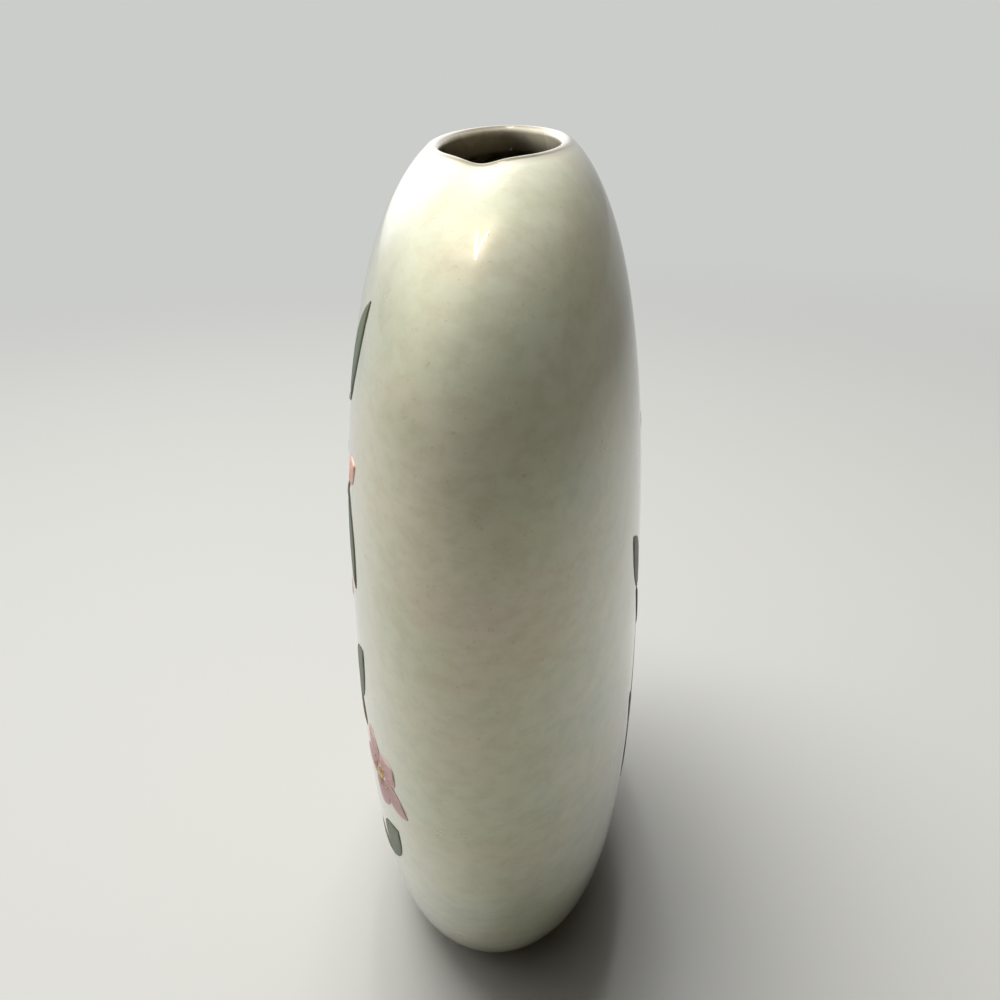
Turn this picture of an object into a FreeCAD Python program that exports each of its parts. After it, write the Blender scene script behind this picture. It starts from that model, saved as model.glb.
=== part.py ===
import FreeCAD, Part
import math
import os

import Sketcher

# Pillow vase: a flattened oval vase of fired clay on a low oval foot, with a small oval mouth.
# Millimetres, +Z up, X along the width, Y along the depth, the decorated front towards -Y.
# The clay carries a glaze outside, a liner glaze inside and raised enamel flowers on both faces.

Vector = FreeCAD.Vector

# Driving sizes
SIZES = {
    # Heights of the form
    "rim_height": 191.0,
    "deepest_height": 77.0,
    "widest_height": 121.0,
    # Form seen from the front and from the end
    "belly_width": 161.6,
    "belly_depth": 66.8,
    "foot_width": 78.0,
    "foot_depth": 45.0,
    "foot_height": 2.0,
    "foot_ring_width": 5.0,
    "foot_recess": 2.4,
    "foot_rounding": 0.5,
    # Mouth, measured along the crest of the lip
    "mouth_width": 68.0,
    "mouth_depth": 28.6,
    "lip_thickness": 2.6,
    "neck_depth": 5.2,
    # The shoulders' curves would close this far above the place where the lip cuts them off
    "width_crown_rise": 2.6,
    "depth_crown_rise": 4.7,
    # The lip isn't level: it drops along +X and has a small dip at that end
    "rim_drop": 2.8,
    "rim_blend_height": 14.0,
    "dip_depth": 1.1,
    "dip_width": 8.0,
    "dip_offset": 1.4,
    # Thicknesses of the layers
    "wall": 4.0,
    "floor_thickness": 4.6,
    "glaze_thickness": 0.4,
    "liner_thickness": 0.35,
    "enamel_thickness": 0.25,
    "enamel_clearance": 0.02,
    # Enamel motifs
    "stem_width": 1.6,
    "twig_width": 1.1,
    "leaf_length": 22.0,
    "leaf_width": 8.4,
    "leaf_bow": 1.3,
    "petal_length": 8.2,
    "petal_width": 6.9,
    "bud_length": 9.0,
    "bud_width": 5.4,
    "bud_bow": 0.5,
    "tip_width": 0.3,
    "motif_gap": 0.3,
    "eye_diameter": 3.2,
    "eye_height": 0.5,
    "eye_gap": 0.4,
    "stamen_diameter": 0.9,
    "stamen_height": 0.3,
    "stamen_ring_diameter": 7.0,
}

# Curve powers of the belly: 2 is an ellipse, less is straighter, more is squarer
LOW_WIDTH_POWER = 1.53
HIGH_WIDTH_POWER = 3.0
LOW_DEPTH_POWER = 2.1
HIGH_DEPTH_POWER = 2.84

# Counts
RING_POINTS = 36
ARC_STATIONS = 9
# The lip's round takes LIP_STEPS to its crest; the shoulder meets it halfway, after JOIN_STEPS
LIP_STEPS = 4
JOIN_STEPS = LIP_STEPS // 2
PATCH_ROWS = 11
PATCH_COLUMNS = 5
PETALS = 5

# Shape of a petal: how much of a half wave its width follows, and how round its end is
PETAL_ROOT_SHARE = 0.09
PETAL_SPAN_SHARE = 0.79
PETAL_END_SHARE = 0.3
# A stem or twig narrows by this share towards its end
TAPER_SHARE = 0.4
# Slopes of a face are taken over this share of the belly's depth
SLOPE_STEP_SHARE = 0.001
# An edge counts as level when its ends differ by less than this share of the lip's thickness
LEVEL_SHARE = 0.001

# Flower layout. A place is x as a share of half the belly's width, z as a share of the rim's height.
# A stem is a list of places that its curve follows.
# A twig has the number of the curve it grows from, the share along it, its side, 1 for left and
# -1 for right, and the places of its own middle and end.
# A leaf has its curve, the share along it, its side or 0 for the end, its turn away from the curve
# in degrees and its size against the plain one. A blossom or bud ends its curve.
FRONT_STEM_SHARES = [
    [(-0.06, 0.075), (-0.45, 0.33), (0.04, 0.5), (0.32, 0.66), (0.07, 0.84)],
]
FRONT_TWIG_SHARES = [
    (0, 0.42, -1, (0.33, 0.44), (0.565, 0.377)),
    (0, 0.3, 1, (-0.44, 0.36), (-0.54, 0.475)),
    (0, 0.52, -1, (0.07, 0.505), (0.17, 0.512)),
    (0, 0.64, -1, (0.33, 0.6), (0.59, 0.685)),
    (0, 0.79, 1, (-0.12, 0.7), (-0.33, 0.75)),
    (0, 0.13, -1, (0.2, 0.15), (0.55, 0.185)),
    (0, 0.86, -1, (0.3, 0.74), (0.535, 0.765)),
]
FRONT_BLOSSOM_SHARES = [(1, 1.0), (2, 1.1), (3, 1.15), (5, 0.95)]
FRONT_BUD_SHARES = [(4, 1.0), (0, 1.0)]
FRONT_LEAF_SHARES = [
    (7, 1.0, 0, 55, 1.0),
    (4, 0.9, -1, 100, 0.9),
    (1, 0.86, 1, 82, 1.1),
    (6, 1.0, 0, 42, 0.9),
    (4, 0.45, 1, 45, 0.8),
    (1, 0.42, -1, 40, 0.95),
    (6, 0.45, 1, 45, 0.8),
    (0, 0.62, 1, 50, 0.85),
    (5, 0.45, -1, 45, 0.85),
    (0, 0.93, -1, 40, 0.8),
    (2, 0.15, 1, 45, 0.95),
    (2, 0.64, 1, 60, 0.8),
    (2, 0.36, -1, 45, 0.75),
    (0, 0.11, 1, 45, 0.9),
]
BACK_STEM_SHARES = [
    [(0.2, 0.2), (0.04, 0.34), (0.02, 0.46), (-0.06, 0.6)],
]
BACK_TWIG_SHARES = [
    (0, 0.5, -1, (0.16, 0.43), (0.265, 0.5)),
    (0, 0.3, 1, (-0.08, 0.37), (-0.19, 0.36)),
]
BACK_BLOSSOM_SHARES = [(0, 1.0), (2, 0.9)]
BACK_BUD_SHARES = []
BACK_LEAF_SHARES = [
    (1, 1.0, 0, 0, 0.95),
    (0, 0.66, 1, 50, 0.8),
    (0, 0.16, -1, 50, 0.75),
    (0, 0.08, 1, 55, 0.85),
]


doc = FreeCAD.newDocument("pillow_vase")
sheet = doc.addObject("Spreadsheet::Sheet", "Sizes")
for row, (name, value) in enumerate(SIZES.items(), start=1):
    sheet.set(f"A{row}", name)
    sheet.set(f"B{row}", str(value))
    sheet.setAlias(f"B{row}", name)
doc.recompute()


def size(name):
    """One driving size, read from the sheet."""
    return float(sheet.get(name))


# The form: ovals stacked along Z, wide in the belly and narrow at the foot and the mouth


def arch(share, power):
    """Height of a quarter arch over its span: 1 in the belly, 0 where it closes."""
    return max(0.0, 1 - share ** power) ** (1 / power)


def half_size(z, peak_z, low_z, high_z, crown_rise, halves, powers):
    """Half the width or depth at a height, from its values at the foot, belly and lip.

    The arch above the belly would close crown_rise higher; the lip cuts it off before that."""
    low, full, high = halves
    if z < peak_z:
        return low + (full - low) * arch((peak_z - z) / (peak_z - low_z), powers[0])
    span = high_z + crown_rise - peak_z
    cut = arch((high_z - peak_z) / span, powers[1])
    return high + (full - high) * (arch((z - peak_z) / span, powers[1]) - cut) / (1 - cut)


class Form:
    """An oval form between two heights, such as the outside of the clay or its cavity."""

    def __init__(self, low_z, high_z, low, full, high):
        self.low_z = low_z
        self.high_z = high_z
        self.half_widths = (low[0], full[0], high[0])
        self.half_depths = (low[1], full[1], high[1])

    def halves(self, z):
        """Half the width and half the depth at a height."""
        half_width = half_size(z, size("widest_height"), self.low_z, self.high_z,
                               size("width_crown_rise"), self.half_widths,
                               (LOW_WIDTH_POWER, HIGH_WIDTH_POWER))
        half_depth = half_size(z, size("deepest_height"), self.low_z, self.high_z,
                               size("depth_crown_rise"), self.half_depths,
                               (LOW_DEPTH_POWER, HIGH_DEPTH_POWER))
        return half_width, half_depth

    def lift(self, z):
        """How far a ring follows the uneven lip: 0 in the belly, 1 at the form's top."""
        rise = 1 - min(1.0, (self.high_z - z) / size("rim_blend_height"))
        return rise * rise * (3 - 2 * rise)

    def stations(self):
        """Rings from low to high, closer together where the form turns in."""
        peak_z = size("deepest_height")
        heights = []
        for step in range(ARC_STATIONS, -1, -1):
            share = math.sin(math.pi / 2 * step / ARC_STATIONS) ** (2 / LOW_DEPTH_POWER)
            heights.append(peak_z - (peak_z - self.low_z) * share)
        span = self.high_z + size("depth_crown_rise") - peak_z
        last_angle = math.asin(((self.high_z - peak_z) / span) ** (HIGH_DEPTH_POWER / 2))
        for step in range(1, ARC_STATIONS):
            share = math.sin(last_angle * step / ARC_STATIONS) ** (2 / HIGH_DEPTH_POWER)
            heights.append(peak_z + span * share)
        heights.append(self.high_z)
        return [(z, *self.halves(z), self.lift(z)) for z in heights]


def rim_wave(angle):
    """Rise or fall of the lip from its mean height, at an angle from +X."""
    tilt = -size("rim_drop") / 2 * math.cos(angle)
    across = size("mouth_depth") / 2 * math.sin(angle) + size("dip_offset")
    dip = size("dip_depth") * math.exp(-(across / (size("dip_width") / 2)) ** 2)
    return tilt - dip * max(0.0, math.cos(angle)) ** 2


def ring(station):
    """A closed oval wire; the ones near the lip rise and fall with it."""
    z, half_width, half_depth, lift = station
    points = []
    for step in range(RING_POINTS):
        angle = 2 * math.pi * step / RING_POINTS
        height = z + lift * rim_wave(angle)
        points.append(Vector(half_width * math.cos(angle), half_depth * math.sin(angle), height))
    curve = Part.BSplineCurve()
    curve.interpolate(Points=points, PeriodicFlag=True)
    return Part.Wire([curve.toShape()])


def skin(stations):
    """An open surface through rings, straight between two and smooth through more."""
    straight = len(stations) == 2
    return Part.makeLoft([ring(station) for station in stations], False, straight)


def bands(stations, breaks):
    """Surfaces from one ring to the next break, so that each corner of the form stays sharp."""
    return [skin(stations[first:last + 1]) for first, last in zip(breaks, breaks[1:])]


def lid(station):
    """A flat face across a level ring."""
    return Part.Face(ring(station))


def closed_solid(surfaces):
    """One solid from surfaces that meet all round."""
    shell = Part.makeShell([face for surface in surfaces for face in surface.Faces])
    shell.sewShape()
    solid = Part.makeSolid(shell)
    if solid.Volume < 0:
        solid.reverse()
    return solid


def grown(stations, thickness, crest):
    """Rings moved out by a thickness; the one at index crest, on the lip, moves straight up."""
    moved = []
    for index, (z, half_width, half_depth, lift) in enumerate(stations):
        before = stations[max(index - 1, 0)]
        after = stations[min(index + 1, len(stations) - 1)]
        run = after[2] - before[2]
        rise = after[0] - before[0]
        length = math.hypot(run, rise)
        outward = rise / length
        upward = -run / length
        if index == crest:
            outward = 0.0
            upward = 1.0
        moved.append((z + thickness * upward, half_width + thickness * outward,
                      half_depth + thickness * outward, lift))
    return moved


def lip_stations(first_step, last_step):
    """Rings over the round lip, from its outside at step 0 to its inside at twice LIP_STEPS."""
    radius = size("lip_thickness") / 2
    stations = []
    for step in range(first_step, last_step + 1):
        angle = math.pi / 2 * step / LIP_STEPS
        reach = radius * math.cos(angle)
        stations.append((size("rim_height") - radius + radius * math.sin(angle),
                         size("mouth_width") / 2 + reach, size("mouth_depth") / 2 + reach, 1.0))
    return stations


lip_half = size("lip_thickness") / 2
wall = size("wall")
foot_half = (size("foot_width") / 2, size("foot_depth") / 2)
belly_half = (size("belly_width") / 2, size("belly_depth") / 2)
mouth_half = (size("mouth_width") / 2, size("mouth_depth") / 2)
join_station = lip_stations(JOIN_STEPS, JOIN_STEPS)[0]

outside = Form(size("foot_height"), join_station[0], foot_half, belly_half, join_station[1:3])
cavity = Form(size("foot_recess") + size("floor_thickness"),
              size("rim_height") - size("neck_depth"),
              [half - wall for half in foot_half], [half - wall for half in belly_half],
              [half - lip_half for half in mouth_half])

# Rings from the foot up the outside to the crest, and from the crest down to the cavity's floor
belly_last = 2 * ARC_STATIONS
outer_stations = outside.stations() + lip_stations(JOIN_STEPS + 1, LIP_STEPS)
outer_breaks = [0, 1, belly_last, len(outer_stations) - 1]
inner_stations = lip_stations(LIP_STEPS, 2 * LIP_STEPS) + cavity.stations()[::-1]
inner_breaks = [0, LIP_STEPS, LIP_STEPS + 1, len(inner_stations) - 1]
foot_station = (0.0, *foot_half, 0.0)

outer_bands = bands(outer_stations, outer_breaks)
inner_bands = bands(inner_stations, inner_breaks)
cavity_floor = lid(inner_stations[-1])


# Clay body

thrown_form = doc.addObject("Part::Feature", "thrown_form")
thrown_form.Shape = closed_solid([lid(foot_station), skin([foot_station, outer_stations[0]])]
                                 + outer_bands + inner_bands + [cavity_floor])

clay_body = doc.addObject("PartDesign::Body", "clay_body")
clay_body.Label = "clay_body"
clay_body.BaseFeature = thrown_form
doc.recompute()


def origin_plane(body, role):
    """One of a body's own origin planes."""
    return [item for item in body.Origin.OriginFeatures if item.Role == role][0]


def oval_sketch(body, name, length, width):
    """An oval on the body's base plane; length and width are expressions of its full sizes."""
    sketch = body.newObject("Sketcher::SketchObject", name)
    sketch.AttachmentSupport = [(origin_plane(body, "XY_Plane"), "")]
    sketch.MapMode = "FlatFace"
    centre = Vector(0, 0, 0)
    oval = sketch.addGeometry(Part.Ellipse(centre, foot_half[0], foot_half[1]), False)
    sketch.exposeInternalGeometry(oval)
    long_axis = oval + 1
    short_axis = oval + 2
    sketch.addConstraint(Sketcher.Constraint("Coincident", oval, 3, -1, 1))
    sketch.addConstraint(Sketcher.Constraint("Horizontal", long_axis))
    for axis, start, label, formula in ((long_axis, foot_half[0], "length", length),
                                        (short_axis, foot_half[1], "width", width)):
        index = sketch.addConstraint(Sketcher.Constraint("Distance", axis, 2 * start))
        sketch.renameConstraint(index, label)
        sketch.setExpression(f"Constraints.{label}", formula)
    return sketch


recess_outline = oval_sketch(clay_body, "foot_recess_outline",
                             "Sizes.foot_width - 2 * Sizes.foot_ring_width",
                             "Sizes.foot_depth - 2 * Sizes.foot_ring_width")
recess = clay_body.newObject("PartDesign::Pocket", "foot_recess")
recess.Profile = recess_outline
recess.setExpression("Length", "Sizes.foot_recess")
recess.Reversed = True
doc.recompute()
if not recess.Shape.Volume < thrown_form.Shape.Volume:
    raise RuntimeError("the foot recess cut nothing")


def edges_at(shape, height):
    """Names of the edges that lie level at one height."""
    tolerance = LEVEL_SHARE * size("lip_thickness")
    names = []
    for index, edge in enumerate(shape.Edges, start=1):
        box = edge.BoundBox
        if abs(box.ZMin - height) < tolerance and abs(box.ZMax - height) < tolerance:
            names.append(f"Edge{index}")
    return names


rounding = clay_body.newObject("PartDesign::Fillet", "foot_rounding")
rounding.Base = (recess, edges_at(recess.Shape, 0.0))
rounding.setExpression("Radius", "Sizes.foot_rounding")


# Glazes

# The outer glaze starts one ring above the foot, whose clay stays bare
glazed_stations = outer_stations[1:]
glazed_breaks = [index - 1 for index in outer_breaks[1:]]
glaze_face = grown(glazed_stations, size("glaze_thickness"), len(glazed_stations) - 1)

outer_glaze = doc.addObject("Part::Feature", "outer_glaze")
outer_glaze.Label = "outer_glaze"
outer_glaze.Shape = closed_solid(outer_bands[1:] + bands(glaze_face, glazed_breaks)
                                 + [skin([glazed_stations[0], glaze_face[0]]),
                                    skin([glazed_stations[-1], glaze_face[-1]])])
outer_glaze.Placement = FreeCAD.Placement()

# The liner's floor is level, and its crest meets the outer glaze on the lip
liner_face = grown(inner_stations, size("liner_thickness"), 0)
liner_face[0] = glaze_face[-1]
liner_face[-1] = (cavity.low_z + size("liner_thickness"), *liner_face[-1][1:])

liner_glaze = doc.addObject("Part::Feature", "liner_glaze")
liner_glaze.Label = "liner_glaze"
liner_glaze.Shape = closed_solid(inner_bands + bands(liner_face, inner_breaks)
                                 + [cavity_floor, lid(liner_face[-1]),
                                    skin([inner_stations[0], liner_face[0]])])
liner_glaze.Placement = FreeCAD.Placement()


# Raised enamel: each motif is a thin patch that follows the glazed face it lies on


def face_depth(x, z):
    """Depth of the clay's outside at a place on one face."""
    half_width, half_depth = outside.halves(z)
    return half_depth * math.sqrt(max(0.0, 1 - (x / half_width) ** 2))


def face_normal(x, z, side):
    """Unit normal out of the clay's front, side -1, or back, side 1."""
    step = SLOPE_STEP_SHARE * size("belly_depth")
    slope_x = (face_depth(x + step, z) - face_depth(x - step, z)) / (2 * step)
    slope_z = (face_depth(x, z + step) - face_depth(x, z - step)) / (2 * step)
    normal = Vector(-slope_x, side, -slope_z)
    return normal.normalize()


def face_point(x, z, side, height):
    """A point at a height above the clay's front or back."""
    return Vector(x, side * face_depth(x, z), z) + face_normal(x, z, side) * height


def patch(outline, side):
    """A thin solid over the glaze; outline turns shares along and across into x and z."""
    bottom = size("glaze_thickness") + size("enamel_clearance")
    faces = []
    for height in (bottom, bottom + size("enamel_thickness")):
        rows = []
        for row in range(PATCH_ROWS):
            along = row / (PATCH_ROWS - 1)
            shares = [2 * column / (PATCH_COLUMNS - 1) - 1 for column in range(PATCH_COLUMNS)]
            rows.append([face_point(*outline(along, across), side, height) for across in shares])
        surface = Part.BSplineSurface()
        surface.interpolate(rows)
        faces.append(surface.toShape())
    lower, upper = faces
    sides = [Part.makeRuledSurface(*pair) for pair in zip(lower.Edges, upper.Edges)]
    return closed_solid([lower, upper] + sides)


def placed(x, z, turn, along, across):
    """A motif's own along and across lengths, turned and set down at its place."""
    angle = math.radians(turn)
    return (x + along * math.cos(angle) - across * math.sin(angle),
            z + along * math.sin(angle) + across * math.cos(angle))


def place_on_face(x_share, z_share):
    """A place in the layout in real lengths."""
    return x_share * size("belly_width") / 2, z_share * size("rim_height")


def blade(x, z, turn, scale, length, width, bow):
    """A leaf or bud from its base: widest in the middle, pointed at both ends, slightly bowed."""

    def outline(along, across):
        swell = math.sin(math.pi * along)
        half = scale * (size("tip_width") + (width - size("tip_width")) * swell) / 2
        return placed(x, z, turn, scale * length * along, scale * bow * swell + half * across)

    return outline


def petal(x, z, turn, scale):
    """One petal of a blossom, narrow at the eye, widest past its middle, with a round end."""
    start = size("eye_diameter") / 2 + size("eye_gap")
    full_half = size("petal_width") / 2
    end_depth = full_half * PETAL_END_SHARE

    def outline(along, across):
        swell = math.sin(math.pi * (PETAL_ROOT_SHARE + PETAL_SPAN_SHARE * along))
        rounding = end_depth * along * (1 - across ** 2)
        reach = start + (size("petal_length") - end_depth) * along + rounding
        return placed(x, z, turn, scale * reach, scale * full_half * swell * across)

    return outline


class Stroke:
    """A stem or twig that tapers along a smooth curve."""

    def __init__(self, places, width):
        self.places = places
        self.width = width

    def last_span(self, along):
        """The two points whose blend is the curve's point, by repeated blending."""
        points = self.places
        while len(points) > 2:
            points = [[(1 - along) * a + along * b for a, b in zip(first, second)]
                      for first, second in zip(points, points[1:])]
        return points

    def turn(self, along):
        """Direction of the curve in degrees."""
        (x, z), (next_x, next_z) = self.last_span(along)
        return math.degrees(math.atan2(next_z - z, next_x - x))

    def near(self, along, ahead, left):
        """A place given by its lengths ahead and to the left of a point on the curve."""
        first, second = self.last_span(along)
        x, z = [(1 - along) * a + along * b for a, b in zip(first, second)]
        return placed(x, z, self.turn(along), ahead, left)

    def half(self, along):
        """Half the stroke's width."""
        return self.width / 2 * (1 - TAPER_SHARE * along)

    def beside(self, along, side, gap):
        """A place clear of the stroke: to its left, side 1, its right, -1, or past its end, 0."""
        if side == 0:
            return self.near(along, gap, 0.0)
        return self.near(along, 0.0, side * (self.half(along) + gap))

    def outline(self, along, across):
        """The stroke's own outline for a patch."""
        return self.near(along, 0.0, self.half(along) * across)


def add_enamel(name, outlines, side):
    """One node of enamel with a separate solid for each motif."""
    feature = doc.addObject("Part::Feature", name)
    feature.Label = name
    feature.Shape = Part.makeCompound([patch(outline, side) for outline in outlines])
    feature.Placement = FreeCAD.Placement()
    return feature


def add_dots(name, places, side, diameter, thickness, base_height):
    """One node of small round dots that stand on a face."""
    dots = []
    for x, z in places:
        dot = doc.addObject("Part::Cylinder", f"{name}_dot")
        dot.setExpression("Radius", f"Sizes.{diameter} / 2")
        dot.setExpression("Height", f"Sizes.{thickness}")
        turn = FreeCAD.Rotation(Vector(0, 0, 1), face_normal(x, z, side))
        dot.Placement = FreeCAD.Placement(face_point(x, z, side, base_height), turn)
        dots.append(dot)
    group = doc.addObject("Part::Compound", name)
    group.Label = name
    group.Links = dots
    return group


def grow(stems, twigs):
    """All strokes of one face: the stems, then the twigs that grow from earlier strokes."""
    strokes = [Stroke([place_on_face(*place) for place in stem], size("stem_width"))
               for stem in stems]
    for parent, along, side, middle, end in twigs:
        # A twig starts beside its parent, clear of it by the gap and half its own width
        start = strokes[parent].beside(along, side, size("motif_gap") + size("twig_width") / 2)
        strokes.append(Stroke([start, place_on_face(*middle), place_on_face(*end)],
                              size("twig_width")))
    return strokes


def add_flowers(face_name, side, stems, twigs, blossoms, leaves, buds):
    """All enamel nodes of one face."""
    on_glaze = size("glaze_thickness") + size("enamel_clearance")
    on_petals = on_glaze + size("enamel_thickness") + size("enamel_clearance")
    gap = size("motif_gap")
    blossom_reach = size("eye_diameter") / 2 + size("eye_gap") + size("petal_length")

    strokes = grow(stems, twigs)
    leaf_blades = []
    for number, along, leaf_side, turn, scale in leaves:
        base = strokes[number].beside(along, leaf_side, gap)
        leaf_turn = strokes[number].turn(along) + turn * (leaf_side or 1)
        leaf_blades.append(blade(*base, leaf_turn, scale, size("leaf_length"),
                                 size("leaf_width"), size("leaf_bow")))
    bud_blades = []
    for number, scale in buds:
        base = strokes[number].beside(1.0, 0, gap)
        bud_blades.append(blade(*base, strokes[number].turn(1.0), scale, size("bud_length"),
                                size("bud_width"), size("bud_bow")))
    petals = []
    eyes = []
    stamens = []
    for number, scale in blossoms:
        centre = strokes[number].beside(1.0, 0, gap + scale * blossom_reach)
        eyes.append(centre)
        for petal_number in range(PETALS):
            turn = strokes[number].turn(1.0) + 360 / PETALS * petal_number
            petals.append(petal(*centre, turn, scale))
            stamens.append(placed(*centre, turn, scale * size("stamen_ring_diameter") / 2, 0.0))

    nodes = [add_enamel(f"{face_name}_stems", [stroke.outline for stroke in strokes], side),
             add_enamel(f"{face_name}_leaves", leaf_blades, side),
             add_enamel(f"{face_name}_petals", petals, side)]
    if bud_blades:
        nodes.append(add_enamel(f"{face_name}_buds", bud_blades, side))
    nodes.append(add_dots(f"{face_name}_flower_eyes", eyes, side, "eye_diameter", "eye_height",
                          on_glaze))
    nodes.append(add_dots(f"{face_name}_stamens", stamens, side, "stamen_diameter",
                          "stamen_height", on_petals))
    return nodes


parts = [clay_body, outer_glaze, liner_glaze]
parts += add_flowers("front", -1, FRONT_STEM_SHARES, FRONT_TWIG_SHARES, FRONT_BLOSSOM_SHARES,
                     FRONT_LEAF_SHARES, FRONT_BUD_SHARES)
parts += add_flowers("back", 1, BACK_STEM_SHARES, BACK_TWIG_SHARES, BACK_BLOSSOM_SHARES,
                     BACK_LEAF_SHARES, BACK_BUD_SHARES)

doc.recompute()

for item in doc.Objects:
    if {"Invalid", "Error"} & set(item.State):
        raise RuntimeError(f"{item.Label} failed: {item.State}")
for part in parts:
    if part.Shape.isNull() or not part.Shape.isValid():
        raise RuntimeError(f"{part.Label} has no valid shape")

os.makedirs("parts", exist_ok=True)
for part in parts:
    part.Shape.exportStep(f"parts/{part.Label}.step")
    box = part.Shape.BoundBox
    print(f"{part.Label}: {len(part.Shape.Solids)} solids, {part.Shape.Volume:.1f} mm3, "
          f"z {box.ZMin:.2f} to {box.ZMax:.2f}")
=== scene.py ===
import math
import random
from collections import namedtuple

import bpy
import numpy as np
from mathutils import Matrix, Vector


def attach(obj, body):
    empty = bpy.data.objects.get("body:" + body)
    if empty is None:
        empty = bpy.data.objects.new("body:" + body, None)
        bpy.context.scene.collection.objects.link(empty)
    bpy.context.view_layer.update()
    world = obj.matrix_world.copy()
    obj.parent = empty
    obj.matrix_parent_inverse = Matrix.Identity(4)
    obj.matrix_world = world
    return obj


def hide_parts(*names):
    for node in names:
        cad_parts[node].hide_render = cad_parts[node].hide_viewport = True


# Looks of a pillow vase: pearl glaze, darker liner, bare clay foot and raised enamel flowers.
# Metres, in the frame's own axes: +Z up, X along the width, the decorated front towards -Y.

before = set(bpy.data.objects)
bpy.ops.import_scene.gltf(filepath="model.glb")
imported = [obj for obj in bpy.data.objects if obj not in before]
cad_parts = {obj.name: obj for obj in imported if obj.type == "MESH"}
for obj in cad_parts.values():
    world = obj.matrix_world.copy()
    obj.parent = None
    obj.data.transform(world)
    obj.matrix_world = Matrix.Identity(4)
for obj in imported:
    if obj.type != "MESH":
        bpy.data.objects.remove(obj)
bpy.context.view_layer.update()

MM = 0.001
BODY = "root"

# Sizes of the form, as the solids have them
RIM_HEIGHT = 191.0 * MM
DEEPEST_HEIGHT = 77.0 * MM
WIDEST_HEIGHT = 121.0 * MM
BELLY_HALF = (80.8 * MM, 33.4 * MM)
FOOT_HALF = (39.0 * MM, 22.5 * MM)
FOOT_HEIGHT = 2.0 * MM
FOOT_RING_WIDTH = 5.0 * MM
FOOT_RECESS = 2.4 * MM
FOOT_ROUNDING = 0.5 * MM
MOUTH_HALF = (34.0 * MM, 14.3 * MM)
LIP_RADIUS = 1.3 * MM
NECK_DEPTH = 5.2 * MM
WIDTH_CROWN_RISE = 2.6 * MM
DEPTH_CROWN_RISE = 4.7 * MM
RIM_DROP = 2.8 * MM
RIM_BLEND_HEIGHT = 14.0 * MM
DIP_DEPTH = 1.1 * MM
DIP_HALF_WIDTH = 4.0 * MM
DIP_OFFSET = 1.4 * MM
WALL = 4.0 * MM
FLOOR_THICKNESS = 4.6 * MM
GLAZE_THICKNESS = 0.4 * MM
GLAZE_START = 3.4 * MM
LINER_THICKNESS = 0.35 * MM
# The enamel's top lies this high above the glaze, as in the solids, and its back this deep in it
ENAMEL_HEIGHT = 0.27 * MM
ENAMEL_SINK = 0.05 * MM

# How full the form's arches are: 1 is a straight line, 2 a quarter of an ellipse
LOW_WIDTH_POWER = 1.53
HIGH_WIDTH_POWER = 3.0
LOW_DEPTH_POWER = 2.1
HIGH_DEPTH_POWER = 2.84

# Mesh density; the shoulder meets the lip's round halfway to its crest
AROUND = 240
OUTER_RINGS = 96
INNER_RINGS = 72
LIP_RINGS = 12
JOIN_RING = LIP_RINGS // 2
ROUND_RINGS = 5
# The recess has rings at these shares of its size
RECESS_SHARES = (0.4, 0.8)
CORNER_ANGLE = math.radians(40)
MOTIF_CORNER_ANGLE = math.radians(50)
# A face keeps its true normals where they lie this close to its own, as a cosine
SAME_FACE = 0.7
# The glaze starts with this share of its thickness and gains this much more at each ring
EDGE_SHARE = 0.35
EDGE_STEP_SHARE = 0.25
# The brown line along the crest fades out over this many rings, the faster the higher its power
RIM_RINGS = 7
RIM_POWER = 3


# The form

# A station is one oval ring; its lift says how far it follows the uneven lip, from 0 to 1
Station = namedtuple("Station", "z half_width half_depth lift")


def arch(share, power):
    """Height of a quarter arch over its span: 1 in the belly, 0 where it closes."""
    return max(0.0, 1 - share ** power) ** (1 / power)


def half_size(z, peak_z, low_z, high_z, crown_rise, halves, powers):
    """Half the width or depth at a height, from its values at the foot, belly and lip.

    The arch above the belly would close crown_rise higher; the lip cuts it off before that."""
    low, full, high = halves
    if z < peak_z:
        return low + (full - low) * arch((peak_z - z) / (peak_z - low_z), powers[0])
    span = high_z + crown_rise - peak_z
    cut = arch((high_z - peak_z) / span, powers[1])
    return high + (full - high) * (arch((z - peak_z) / span, powers[1]) - cut) / (1 - cut)


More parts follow.
